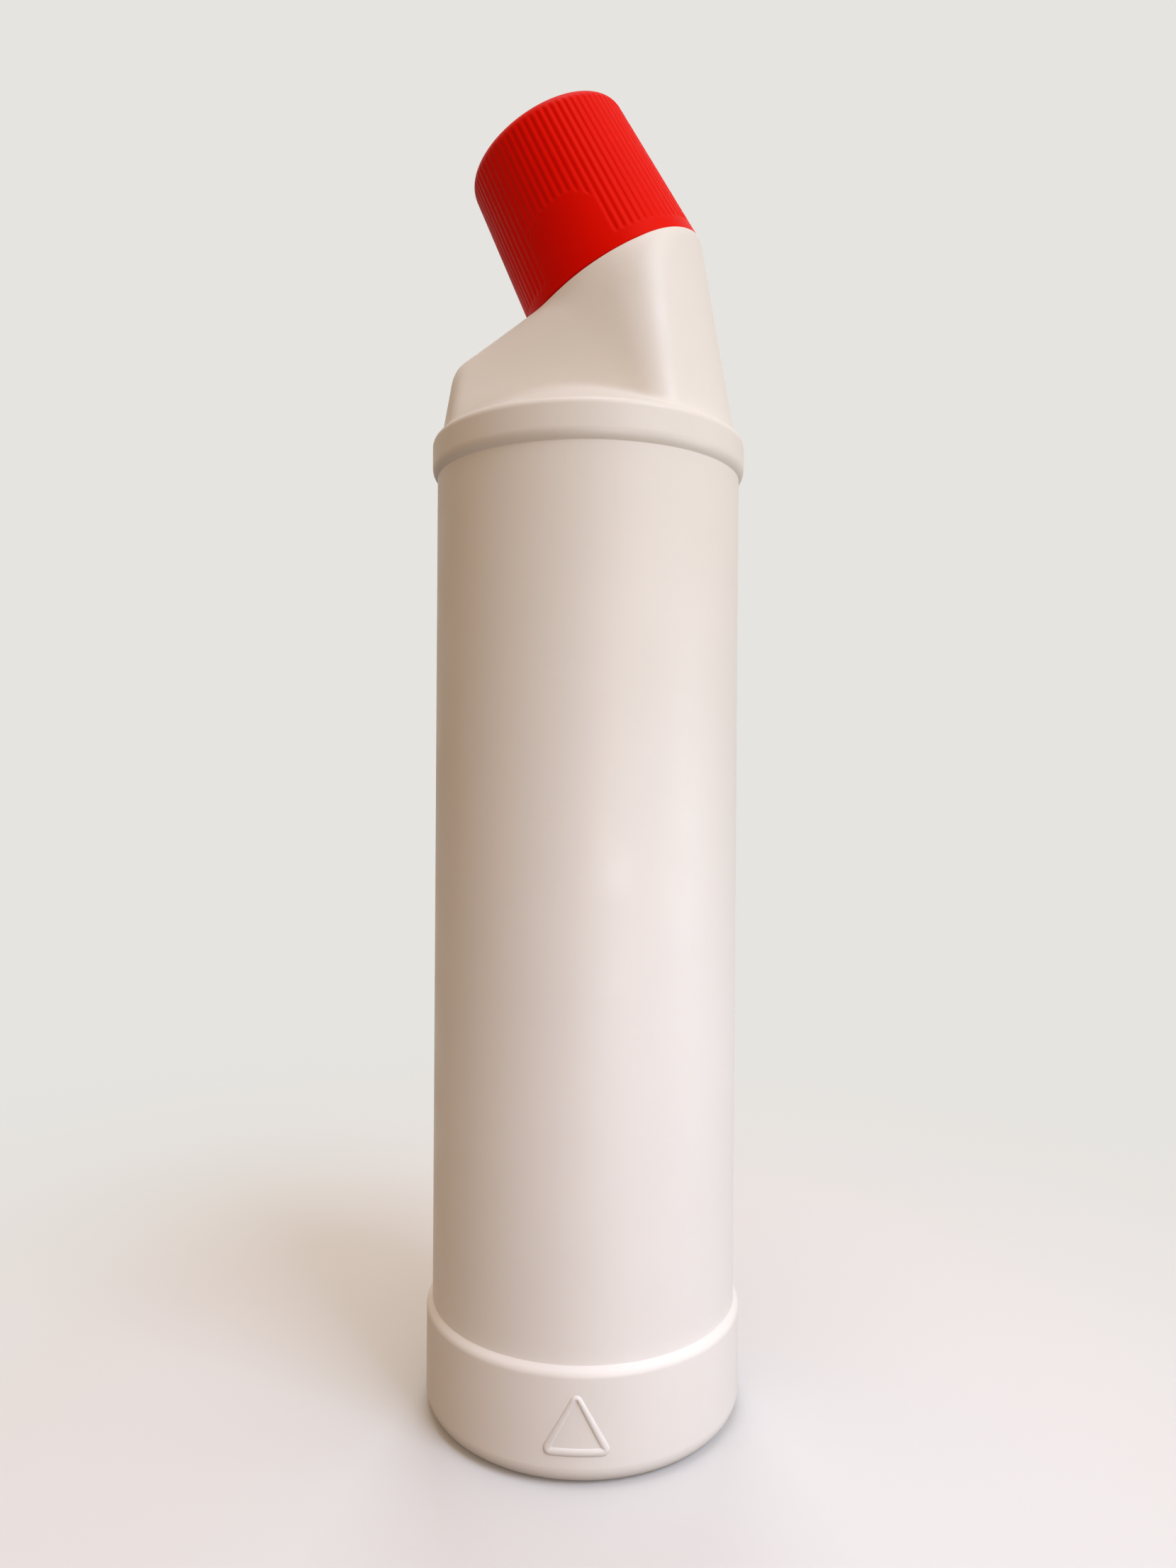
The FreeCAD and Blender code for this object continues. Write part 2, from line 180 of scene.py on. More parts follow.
def closer(profile, gap):
    """The same outline, with even points added on its runs so that none is longer than
    the gap: each run is cut into equal parts, measured along the outline."""
    run = np.hypot(*np.diff(profile, axis=0).T)
    parts = np.maximum(np.ceil(run / gap), 1).astype(int)
    at = np.concatenate([[0], np.repeat(run / parts, parts)]).cumsum()
    length = np.concatenate([[0], run.cumsum()])
    return np.stack([np.interp(at, length, profile[:, k]) for k in (0, 1)], 1)


def angles(count):
    """Equal angles once round, without the last."""
    return np.linspace(0, 2 * math.pi, count, endpoint=False)


def turned(profile, turn):
    """Outline carried round Z: radius times cosine and sine of the turn, and height."""
    radius, height = profile[:, :1], profile[:, 1:]
    return np.stack([radius * np.cos(turn), radius * np.sin(turn),
                     height + 0 * turn], -1)


def on_neck(points):
    """Points made about Z, with the ledge at zero height, carried to the leaning neck:
    turned about Y by the tilt and moved to the middle of the ledge."""
    x, y, z = np.moveaxis(points, -1, 0)
    return np.stack([LEDGE_X + x * math.cos(TILT) - z * math.sin(TILT), y,
                     LEDGE_Z + x * math.sin(TILT) + z * math.cos(TILT)], -1)


def step(value, width):
    """Smooth rise from 0 at zero to 1 at the width: 3t squared less 2t cubed."""
    share = np.clip(value / width, 0, 1)
    return share * share * (3 - 2 * share)


def greater(a, b, blend):
    """Larger of two values, run together by a square law where they are nearly equal."""
    near = np.maximum(blend - abs(a - b), 0)
    return np.maximum(a, b) + near * near / (4 * blend)


def lesser(a, b, blend):
    """Smaller of two values, run together in the same way."""
    return -greater(-a, -b, blend)


def cone_radius(z):
    """Radius of the plain shoulder cone at a height."""
    return SHOULDER_RADIUS - math.tan(TAPER) * (z - BEAD_TOP)


LEDGE_X = (cone_radius(LEDGE_Z + COLLAR_RADIUS * math.sin(TILT))
           - COLLAR_RADIUS * math.cos(TILT) + LEDGE_OUT)


def shoulder_field(x, y, z):
    """Distance outside the shoulder, about: a cone, pinched by two cheeks, which lean in
    and turn more the higher they are, and by a crowned back, joined by the flared
    collar, and cut off by the ledge. The cheeks stand on a sloping shelf that rises
    inwards from the bead. Where they meet the cone, the rounding grows with height and
    shrinks towards the heel."""
    y = abs(y)
    out = np.hypot(x, y)
    cone = (out - cone_radius(z)) * math.cos(TAPER)
    shelf = (z - BEAD_TOP) * math.cos(SHELF_SLOPE)
    shelf = shelf + (out - SHOULDER_RADIUS) * math.sin(SHELF_SLOPE)
    depth = COLLAR_RADIUS - CHEEK_STEP + math.tan(CHEEK_LEAN) * (LEDGE_Z - z)
    turn = CHEEK_TURN + CHEEK_TWIST * (z - CHEEK_MIDDLE)
    cheek = (np.cos(turn) * (y - depth) - np.sin(turn) * x) * math.cos(CHEEK_LEAN)
    back = (z - LEDGE_Z + CROWN_DROP) * math.cos(CROWN_SLOPE)
    back = back - (x - LEDGE_X + CROWN_REACH) * math.sin(CROWN_SLOPE)
    back = back + y * y / (2 * CROWN_RADIUS)
    along = (z - LEDGE_Z) * math.cos(TILT) - (x - LEDGE_X) * math.sin(TILT)
    across = (x - LEDGE_X) * math.cos(TILT) + (z - LEDGE_Z) * math.sin(TILT)
    collar = np.hypot(across, y) - COLLAR_RADIUS + COLLAR_INSET
    collar = (collar + math.tan(COLLAR_FLARE) * along) * math.cos(COLLAR_FLARE)
    side = lesser(greater(cheek, back, BLEND_CROWN), collar, BLEND_COLLAR)
    round_off = BLEND_CONE + BLEND_CONE_RISE * (z - CHEEK_MIDDLE)
    round_off = round_off * np.clip(1 + (x - HEEL_FROM) * HEEL_TIGHTER, HEEL_LEAST, 1)
    side = greater(greater(cone, side, round_off), along, BLEND_LEDGE)
    return np.maximum(cone, lesser(side, shelf, BLEND_SHELF))


def reach(origin, ray, inset=0.0):
    """Where rays from inside a form leave it: every ray's span is halved, all of them
    together, towards the point where the field passes the inset."""
    near = np.zeros(ray.shape[:-1])
    far = near + 2 * SHOULDER_RADIUS
    for _ in range(40):
        middle = (near + far) / 2
        point = origin + ray * middle[..., None]
        inside = shoulder_field(*np.moveaxis(point, -1, 0)) < HAIR - inset
        near, far = np.where(inside, middle, near), np.where(inside, far, middle)
    return origin + ray * near[..., None]


def fanned(fans, inset, turn):
    """Outlines where planes cut the shoulder. The planes fan out from the line where
    the shelf's plane meets the ledge's, fan 0 level and fan 1 the ledge, and each
    outline is found along rays from the middle of the cone's cut."""
    angle = np.asarray(fans, float)[:, None] * TILT
    base = SHELF_Z - inset
    hinge = LEDGE_X + ((base - LEDGE_Z) * math.cos(TILT) + inset) / math.sin(TILT)
    radius = cone_radius(base) - inset
    rise = np.tan(angle)
    slope = math.tan(TAPER) * rise
    low = (-radius - slope * hinge) / (1 - slope)
    high = (radius + slope * hinge) / (1 + slope)
    middle = (low + high) / 2
    origin = np.stack([middle, 0 * middle, base + (middle - hinge) * rise], -1)
    ray = np.stack([np.cos(turn) * np.cos(angle), np.sin(turn) + 0 * angle,
                    np.cos(turn) * np.sin(angle)], -1)
    return reach(origin, ray, inset)


def thread(turn, height, start):
    """Height of a helical thread, 0 to 1: one flat-topped ridge that climbs a pitch a
    turn, measured across from its nearest centre line, fading in and out at its ends."""
    climb = (height - start) / THREAD_PITCH - turn / (2 * math.pi)
    nearest = np.round(climb)
    across = abs(climb - nearest) * THREAD_PITCH
    along = nearest + turn / (2 * math.pi)
    crest = step(THREAD_WIDTH / 2 + THREAD_FLANK / 2 - across, THREAD_FLANK)
    return crest * step(along, 0.15) * step(THREAD_TURNS - along, 0.15)


def between(first, last, count):
    """Rows spaced evenly from one row of points to another, without either."""
    share = np.linspace(0, 1, count + 2)[1:-1, None, None]
    return first + (last - first) * share


def block(reach_in, reach_out, width, low, high, turn):
    """Rounded block standing out from the neck axis: a superellipsoid, each of its sines
    and cosines raised to a small power that keeps its sign."""
    def squared(wave):
        return np.sign(wave) * abs(wave) ** 0.22
    up = np.linspace(-math.pi / 2, math.pi / 2, 21)[:, None]
    side = angles(32)
    across = squared(np.cos(up)) * squared(np.cos(side)) * (reach_out - reach_in) / 2
    x = across + (reach_out + reach_in) / 2
    y = squared(np.cos(up)) * squared(np.sin(side)) * width / 2
    z = (low + high) / 2 + squared(np.sin(up)) * (high - low) / 2 + 0 * side
    return np.stack([x * math.cos(turn) - y * math.sin(turn),
                     x * math.sin(turn) + y * math.cos(turn), z], -1)


def skin(grid, ring=False):
    """Points and faces over a grid whose columns run right round. A ring's rows run
    round too; otherwise its first and last rows are single points, closed by fans."""
    grid = np.asarray(grid, float)
    rows, columns = grid.shape[:2]
    if ring:
        points, first, last = grid.reshape(-1, 3), rows, None
    else:
        points = np.concatenate([grid[0, :1], grid[1:-1].reshape(-1, 3), grid[-1, :1]])
        rows, first, last = rows - 2, rows - 3, len(points) - 1
    j = np.arange(columns)
    k = (j + 1) % columns
    i = np.arange(first)[:, None]
    here, above = i * columns, (i + 1) % rows * columns
    quads = np.stack([here + j, here + k, above + k, above + j], -1).reshape(-1, 4)
    if ring:
        return points, [quads.tolist()]
    quads = quads + 1
    top = 1 + (rows - 1) * columns
    low_fan = np.stack([0 * j, 1 + k, 1 + j], -1)
    high_fan = np.stack([top + j, top + k, 0 * j + last], -1)
    return points, [quads.tolist(), low_fan.tolist(), high_fan.tolist()]


def piece(name, skins, body, material):
    """One smooth mesh object from several skins. It rides on the body, and stands for
    the CAD node of the same name."""
    points, faces = [], []
    for cover, groups in skins:
        shift = sum(len(part) for part in points)
        for group in groups:
            faces += (np.array(group) + shift).tolist()
        points.append(cover)
    mesh = bpy.data.meshes.new(name)
    mesh.from_pydata(np.concatenate(points) * MM, [], faces)
    mesh.polygons.foreach_set("use_smooth", [True] * len(mesh.polygons))
    mesh.materials.append(material)
    mesh.update()
    made = bpy.data.objects.new(name + "_surface", mesh)
    bpy.context.scene.collection.objects.link(made)
    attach(made, body)
    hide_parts(name)
    return made


# ==== the pieces =====================================================================
def bottle_skin():
    """Bottle as one closed grid: foot, panel and bead turned about Z, the shelf found by
    rays, the shoulder's fanned outlines, the ledge, the neck with its ring and thread,
    and then the whole inner wall back down to the base."""
    turn = angles(COLUMNS)
    foot = outline([
        (0, PUSH_UP, 0), (RIM_RADIUS - PUSH_UP, PUSH_UP, 2.0), (RIM_RADIUS, 0, 1.0),
        (FOOT_RADIUS, 0, FOOT_ROUND),
        (FOOT_RADIUS, FOOT_TOP - FOOT_FALL, FOOT_EDGE_ROUND),
        (PANEL_RADIUS, FOOT_TOP + FOOT_LIFT, 0.2), (PANEL_RADIUS, PANEL_TOP, TIGHT),
        (BEAD_RADIUS, PANEL_TOP + BEAD_FLANK, BEAD_ROUND_LOW),
        (BEAD_RADIUS, BEAD_TOP, BEAD_ROUND_HIGH),
        (SHOULDER_RADIUS, BEAD_TOP, 0),
    ], 8, 0.02)
    low = turned(foot, turn)

    first = fanned([0.0], 0, turn)[0]
    sill = turned(np.array([[cone_radius(BEAD_TOP + 0.1), BEAD_TOP + 0.1]]), turn)[0]
    share = np.linspace(0, 1, 34)[:-1, None, None]
    chord = sill + (first - sill) * share
    origin = np.array([0, 0, BEAD_TOP - 12.0])
    ray = (chord - origin) / np.linalg.norm(chord - origin, axis=-1, keepdims=True)
    shelf = reach(origin, ray)

    fans = 1 - (1 - np.linspace(0, 1, 73)) ** FAN_LAW
    high = fanned(fans, 0, turn)
    neck_foot = on_neck(turned(np.array([[NECK_RADIUS + NECK_FILLET + 0.4, 0.0]]), turn))
    ledge = between(high[-1], neck_foot[0], 3)

    neck = outline([
        (NECK_RADIUS + NECK_FILLET + 0.4, 0, 0), (NECK_RADIUS, 0, NECK_FILLET),
        (NECK_RADIUS, RING_LOW, TIGHT), (RING_RADIUS, RING_LOW, 0.4),
        (RING_RADIUS, RING_HIGH, 0.4), (NECK_RADIUS, RING_HIGH, TIGHT),
        (NECK_RADIUS, NECK_HEIGHT, 0.5), (NECK_BORE, NECK_HEIGHT, 0.4),
        (NECK_BORE, -WALL, 0),
    ], 4, 0.15)
    tall = (neck[:, 0] > NECK_RADIUS - HAIR) & (neck[:, 1] > RING_HIGH + 0.5)
    start = np.flatnonzero(tall)[0]
    neck = np.concatenate([neck[:start], closer(neck[start:start + 2], 0.2),
                           neck[start + 2:]])
    outer = neck[:, :1] > NECK_RADIUS - HAIR
    rise = thread(turn, neck[:, 1:], NECK_THREAD_START) * THREAD_DEPTH * outer
    radius = neck[:, :1] + rise
    tube = on_neck(np.stack([radius * np.cos(turn), radius * np.sin(turn),
                             neck[:, 1:] + 0 * turn], -1))

    fans = 1 - (1 - np.linspace(1, 0, 25)) ** FAN_LAW
    inner_fans = fanned(fans, WALL, turn)
    inner_ledge = between(tube[-1], inner_fans[0], 2)
    inner = outline([
        (SHOULDER_RADIUS - WALL, BEAD_TOP - WALL, 0),
        (BEAD_RADIUS - WALL, BEAD_TOP - WALL, 0.5),
        (BEAD_RADIUS - WALL, PANEL_TOP + WALL, TIGHT),
        (PANEL_RADIUS - WALL, PANEL_TOP + WALL, TIGHT),
        (PANEL_RADIUS - WALL, FOOT_TOP - WALL, TIGHT),
        (FOOT_RADIUS - WALL, FOOT_TOP - WALL, TIGHT),
        (FOOT_RADIUS - WALL, WALL, 2.8), (RIM_RADIUS, WALL, 1.0),
        (RIM_RADIUS - PUSH_UP, PUSH_UP + WALL, 2.0), (0, PUSH_UP + WALL, 0),
    ], 4)
    inside = turned(inner, turn)
    return skin(np.concatenate([low, shelf, high, ledge, tube, inner_ledge, inner_fans,
                                inside]))


def sign_skin():
    """Raised triangle: a rounded three-cornered path laid on the foot band, with an
    ellipse half sunk in the wall carried along it."""
    high = SIGN_LOW + SIGN_HEIGHT
    inset = SIGN_LINE / 2
    half = SIGN_WIDTH / 2 - inset * 1.6
    low, top = SIGN_LOW + inset, high - inset * 2
    path = closer(outline([
        (0, low, 0), (half, low, 0.6), (0, top, 0.6), (-half, low, 0.6), (0, low, 0),
    ], 6, 0.2), 0.8)[:-1]
    onward = np.roll(path, -1, 0) - np.roll(path, 1, 0)
    onward = onward / np.linalg.norm(onward, axis=1, keepdims=True)
    turn = angles(20)
    out = FOOT_RADIUS - 0.12 + (SIGN_PROUD + 0.12) * np.sin(turn)[None, :]
    taper_and_painted_shade = 1 - SIGN_THIN * (path[:, 1] - low) / (top - low)
    side = np.cos(turn)[None, :, None] * inset * 1.05 * taper_and_painted_shade[:, None, None]
    flat = path[:, None, :] + np.stack([-onward[:, 1], onward[:, 0]], 1)[:, None] * side
    angle = -math.pi / 2 + (flat[..., 0] + SIGN_SHIFT) / FOOT_RADIUS
    grid = np.stack([out * np.cos(angle), out * np.sin(angle), flat[..., 1]], -1)
    return skin(grid, ring=True)


def rib_share(turn, height, radius):
    """How deep the cap is cut between ribs, 0 to 1: the rib's outline repeated round
    the cap, let off below the ribs' start and inside the two smooth pads, whose edge
    is the distance to a rectangle with rounded top corners."""
    share = turn * RIB_COUNT / (2 * math.pi) % 1
    at = np.array(RIB_OUTLINE + ((1.0, 0.0),)).T
    valley = 1 - np.interp(share, at[0], at[1])
    across = abs(radius * np.sin(turn - PAD_ANGLE)) - (PAD_WIDTH / 2 - PAD_CORNER)
    above = height - CAP_LOW - (PAD_HEIGHT - PAD_CORNER)
    outside = np.hypot(np.maximum(across, 0), np.maximum(above, 0)) - PAD_CORNER
    return valley * step(outside, 0.3) * step(height - CAP_LOW - RIB_START, 0.5)


def cap_skin():
    """Outside, edge and hollow of the cap as one closed grid, from the middle of the
    ceiling out and round the edge to the middle of the top. The ribs are cut straight
    in by their depth, and run out where the rounded top falls inside them."""
    share = np.array(RIB_OUTLINE)[:, 0]
    turn = ((np.arange(RIB_COUNT)[:, None] + share) * 2 * math.pi / RIB_COUNT).ravel()
    depth = RIB_DEPTH + CAP_WALL
    inside = outline([
        (0, CAP_CEILING, 0), (CAP_RADIUS - CAP_LOSS - depth, CAP_CEILING, 1.0),
        (CAP_RADIUS - depth, CAP_LOW, 0.3), (CAP_RADIUS - 0.8, CAP_LOW, 0),
    ], 4)[:-1]
    outside = outline([
        (CAP_RADIUS - 0.8, CAP_LOW, 0), (CAP_RADIUS, CAP_LOW, 0.4),
        (CAP_RADIUS - CAP_LOSS, CAP_TOP, 3.2), (0, CAP_TOP, 0),
    ], 12, 0.2)
    wall = closer(outside[14:17], 0.36)
    tall = wall[:, 1] < PAD_HEIGHT + 2
    wall = np.concatenate([wall[tall], wall[~tall][::9], wall[-1:]])
    outside = np.concatenate([outside[:14], wall, outside[17:]])
    profile = np.concatenate([inside, outside])
    height = profile[:, 1:]
    ribbed = np.arange(len(profile))[:, None] >= len(inside)
    root = CAP_RADIUS - CAP_LOSS * (height - CAP_LOW) / (CAP_TOP - CAP_LOW) - RIB_DEPTH
    cut = np.clip(profile[:, :1] - root, 0, RIB_DEPTH) * ribbed
    radius = profile[:, :1] - cut * rib_share(turn, height, profile[:, :1])
    grid = np.stack([radius * np.cos(turn), radius * np.sin(turn), height + 0 * turn], -1)
    return skin(on_neck(grid))


def skirt_skin():
    """Inner skirt of the cap: a closed outline turned about the neck, with a thread
    inside it that lies between the turns of the neck's."""
    turn = angles(120)
    wide = SKIRT_BORE + SKIRT_WALL
    loop = outline([
        (SKIRT_BORE, CAP_CEILING + 0.5, 0), (SKIRT_BORE, SKIRT_LOW, 0.5),
        (wide, SKIRT_LOW, 0.5), (wide, CAP_CEILING + 0.5, 0),
    ], 4, 0.2)
    loop = np.concatenate([closer(loop[:2], 0.3), loop[2:]])
    rise = thread(turn, loop[:, 1:], CAP_THREAD_START) * THREAD_DEPTH
    radius = loop[:, :1] - rise * (loop[:, :1] < SKIRT_BORE + HAIR)
    grid = np.stack([radius * np.cos(turn), radius * np.sin(turn),
                     loop[:, 1:] + 0 * turn], -1)
    return skin(on_neck(grid), ring=True)


def nozzle_skin():
    """Pour nozzle: plug, flange and tapered spout outside, throat and orifice inside, as
    one closed outline turned about the neck."""
    throat = SPOUT_LOW - NOZZLE_WALL
    inner = PLUG_RADIUS - NOZZLE_WALL
    loop = outline([
        (inner, 16.0, 0), (inner, PLUG_LOW, 0.3), (PLUG_RADIUS, PLUG_LOW, 0.3),
        (PLUG_RADIUS, NECK_HEIGHT, 0.02), (FLANGE_RADIUS, NECK_HEIGHT, 0.2),
        (FLANGE_RADIUS, FLANGE_TOP, 0.4), (SPOUT_LOW, FLANGE_TOP, 0.4),
        (SPOUT_HIGH, SPOUT_TOP, 0.6), (ORIFICE, SPOUT_TOP, 0.2),
        (ORIFICE, SPOUT_TOP - ORIFICE_LENGTH, 0.2), (throat, NECK_HEIGHT, 0.4),
        (inner, NECK_HEIGHT, 0.3), (inner, 16.0, 0),
    ], 6, 0.1)[:-1]
    return skin(on_neck(turned(loop, angles(96))), ring=True)


def liner_skin():
    """Foam wad: a disc with softly crushed edges, turned about the neck."""
    loop = outline([
        (0, LINER_LOW, 0), (LINER_RADIUS, LINER_LOW, 0.35),
        (LINER_RADIUS, LINER_HIGH, 0.35), (0, LINER_HIGH, 0),
    ], 5)
    return skin(on_neck(turned(loop, angles(96))))


# ==== materials ======================================================================
def linear(code):
    """Colour from a hex code as it is seen, made linear."""
    value = np.array([int(code[i:i + 2], 16) for i in (0, 2, 4)]) / 255
    value = np.where(value <= 0.04045, value / 12.92, ((value + 0.055) / 1.055) ** 2.4)
    return (*value, 1.0)


def node(tree, kind, settings=(), takes=()):
    """Add a node with its settings, and its inputs as plain values or as links."""
    made = tree.nodes.new(kind)
    for name, value in dict(settings).items():
        setattr(made, name, value)
    for name, value in dict(takes).items():
        if isinstance(value, bpy.types.NodeSocket):
            tree.links.new(value, made.inputs[name])
        else:
            made.inputs[name].default_value = value
    return made


def empty_material(name):
    """Named material with only its output left, and that output."""
    material = bpy.data.materials.new(name)
    material.use_nodes = True
    tree = material.node_tree
    tree.nodes.clear()
    return material, tree, node(tree, "ShaderNodeOutputMaterial")


def blow_moulded_hdpe():
    """White high-density polyethylene, extrusion blow moulded: a waxy, half-matt skin
    with a soft orange peel, faint upright die lines and a fine parting line."""
    material, tree, out = empty_material("hdpe_white_blow_moulded")
    place = node(tree, "ShaderNodeTexCoord").outputs["Object"]
    axes = node(tree, "ShaderNodeSeparateXYZ", {}, {"Vector": place})
    # painted shade: a full cool white low down, going darker and creamier towards the
    # shoulder, as the light falls off upwards
    taper_and_painted_shade = node(tree, "ShaderNodeMapRange", {"interpolation_type": "SMOOTHSTEP"},
                {"Value": axes.outputs["Z"], "From Min": 0.05, "From Max": 0.225})
    # mixes the cool white low down into the darker, creamier painted shade higher up
    body = node(tree, "ShaderNodeMix", {"data_type": "RGBA"}, {"Factor": taper_and_painted_shade.outputs[0]})
    body.inputs[6].default_value = linear("F3F0ED")
    body.inputs[7].default_value = linear("E6DFD4")
    # the wall's thickness drifts over some centimetres
    cloud = node(tree, "ShaderNodeTexNoise", {},
                 {"Vector": place, "Scale": 28.0, "Detail": 2.0, "Roughness": 0.5})
    shade = node(tree, "ShaderNodeMapRange", {},
                 {"Value": cloud.outputs["Fac"], "From Min": 0.3, "From Max": 0.7,
                  "To Min": 0.965, "To Max": 1.0})
    tint = node(tree, "ShaderNodeMix", {"data_type": "RGBA", "blend_type": "MULTIPLY"},
                {"Factor": 1.0})
    tree.links.new(body.outputs[2], tint.inputs[6])
    tree.links.new(shade.outputs[0], tint.inputs[7])
    # orange peel from the mould's blasted skin, about 1.2 mm
    peel = node(tree, "ShaderNodeTexNoise", {},
                {"Vector": place, "Scale": 800.0, "Detail": 2.0, "Roughness": 0.55})
    # die lines run up the parison, about 1.5 mm apart
    drawn = node(tree, "ShaderNodeMapping", {}, {"Vector": place, "Scale": (1, 1, 0.015)})
    lines = node(tree, "ShaderNodeTexNoise", {},
                 {"Vector": drawn.outputs["Vector"], "Scale": 650.0, "Detail": 3.0})
    # gloss wanders where the skin froze against the mould
    gloss = node(tree, "ShaderNodeTexNoise", {},
                 {"Vector": place, "Scale": 90.0, "Detail": 3.0})
    rough = node(tree, "ShaderNodeMapRange", {},
                 {"Value": gloss.outputs["Fac"], "From Min": 0.3, "From Max": 0.7,
                  "To Min": 0.42, "To Max": 0.52})
    # parting line, 0.2 mm wide, where the two halves of the mould met
    off = node(tree, "ShaderNodeMath", {"operation": "ABSOLUTE"}, {0: axes.outputs["Y"]})
    seam = node(tree, "ShaderNodeMapRange", {"interpolation_type": "SMOOTHSTEP"},
                {"Value": off.outputs[0], "From Min": 0.00004, "From Max": 0.00022,
                 "To Min": 1.0, "To Max": 0.0})
    waxy = node(tree, "ShaderNodeBump", {},
                {"Strength": 1.0, "Distance": 0.000012, "Height": peel.outputs["Fac"]})
    lined = node(tree, "ShaderNodeBump", {},
                 {"Strength": 1.0, "Distance": 0.000014, "Height": lines.outputs["Fac"],
                  "Normal": waxy.outputs["Normal"]})
    seamed = node(tree, "ShaderNodeBump", {},
                  {"Strength": 1.0, "Distance": 0.00005, "Height": seam.outputs[0],
                   "Normal": lined.outputs["Normal"]})
    skin_of = node(tree, "ShaderNodeBsdfPrincipled", {},
                   {"Base Color": tint.outputs[2], "Roughness": rough.outputs[0],
                    "IOR": 1.54, "Subsurface Weight": 0.12,
                    "Subsurface Radius": (1.0, 0.8, 0.6), "Subsurface Scale": 0.003,
                    "Normal": seamed.outputs["Normal"]})
    tree.links.new(skin_of.outputs[0], out.inputs["Surface"])
    return material


def injected_polypropylene():
    """Red polypropylene, injection moulded: a deep, even colour with a half-gloss skin,
    very fine spark texture and slight flow marks."""
    material, tree, out = empty_material("polypropylene_red_injection_moulded")
    place = node(tree, "ShaderNodeTexCoord").outputs["Object"]
    # pigment swirls over about a centimetre
    swirl = node(tree, "ShaderNodeTexNoise", {},
                 {"Vector": place, "Scale": 110.0, "Detail": 3.0, "Distortion": 0.6})
    tint = node(tree, "ShaderNodeMix", {"data_type": "RGBA"},
                {"Factor": swirl.outputs["Fac"]})
    tint.inputs[6].default_value = linear("DC0600")
    tint.inputs[7].default_value = linear("E40A00")
    # spark-eroded texture, 0.25 mm
    spark = node(tree, "ShaderNodeTexNoise", {},
                 {"Vector": place, "Scale": 4000.0, "Detail": 2.0})
    grain = node(tree, "ShaderNodeBump", {},
                 {"Strength": 1.0, "Distance": 0.0000025, "Height": spark.outputs["Fac"]})
    # sink and flow over some millimetres
    flow = node(tree, "ShaderNodeTexNoise", {},
                {"Vector": place, "Scale": 260.0, "Detail": 1.0})
    wave = node(tree, "ShaderNodeBump", {},
                {"Strength": 1.0, "Distance": 0.000015, "Height": flow.outputs["Fac"],
                 "Normal": grain.outputs["Normal"]})
    rough = node(tree, "ShaderNodeMapRange", {},
                 {"Value": swirl.outputs["Fac"], "From Min": 0.3, "From Max": 0.7,
                  "To Min": 0.42, "To Max": 0.5})
    body = node(tree, "ShaderNodeBsdfPrincipled", {},
                {"Base Color": tint.outputs[2], "Roughness": rough.outputs[0],
                 "IOR": 1.49, "Specular IOR Level": 0.09,
                "Specular Tint": (1.0, 0.5, 0.15, 1.0),
                 "Normal": wave.outputs["Normal"]})
    tree.links.new(body.outputs[0], out.inputs["Surface"])
    return material


def moulded_ldpe():
    """Unpigmented low-density polyethylene, injection moulded: milky, waxy and slightly
    see-through, with a soft ripple."""
    material, tree, out = empty_material("ldpe_natural_injection_moulded")
    place = node(tree, "ShaderNodeTexCoord").outputs["Object"]
    haze = node(tree, "ShaderNodeTexNoise", {},
                {"Vector": place, "Scale": 160.0, "Detail": 2.0})
    tint = node(tree, "ShaderNodeMix", {"data_type": "RGBA"},
                {"Factor": haze.outputs["Fac"]})
    tint.inputs[6].default_value = linear("DDDCD3")
    tint.inputs[7].default_value = linear("E8E7E0")
    ripple = node(tree, "ShaderNodeBump", {},
                  {"Strength": 1.0, "Distance": 0.00001, "Height": haze.outputs["Fac"]})
    body = node(tree, "ShaderNodeBsdfPrincipled", {},
                {"Base Color": tint.outputs[2], "Roughness": 0.34, "IOR": 1.51,
                 "Subsurface Weight": 0.35, "Subsurface Radius": (1.0, 0.95, 0.85),
                 "Subsurface Scale": 0.003, "Normal": ripple.outputs["Normal"]})
    tree.links.new(body.outputs[0], out.inputs["Surface"])
    return material


def pe_foam():
    """Expanded polyethylene sheet, die cut: dry and matt, with closed cells."""
    material, tree, out = empty_material("pe_foam_die_cut")
    place = node(tree, "ShaderNodeTexCoord").outputs["Object"]
    # cells about 0.35 mm across
    cells = node(tree, "ShaderNodeTexVoronoi", {"feature": "F1"},
                 {"Vector": place, "Scale": 2800.0})
    tint = node(tree, "ShaderNodeMix", {"data_type": "RGBA"},
                {"Factor": cells.outputs["Distance"]})
    tint.inputs[6].default_value = linear("E2DFD6")
    tint.inputs[7].default_value = linear("EFEDE6")
    dimple = node(tree, "ShaderNodeBump", {},
                  {"Strength": 0.6, "Distance": 0.00008,
                  "Height": cells.outputs["Distance"]})
    body = node(tree, "ShaderNodeBsdfPrincipled", {},
                {"Base Color": tint.outputs[2], "Roughness": 0.85, "IOR": 1.45,
                 "Normal": dimple.outputs["Normal"]})
    tree.links.new(body.outputs[0], out.inputs["Surface"])
    return material


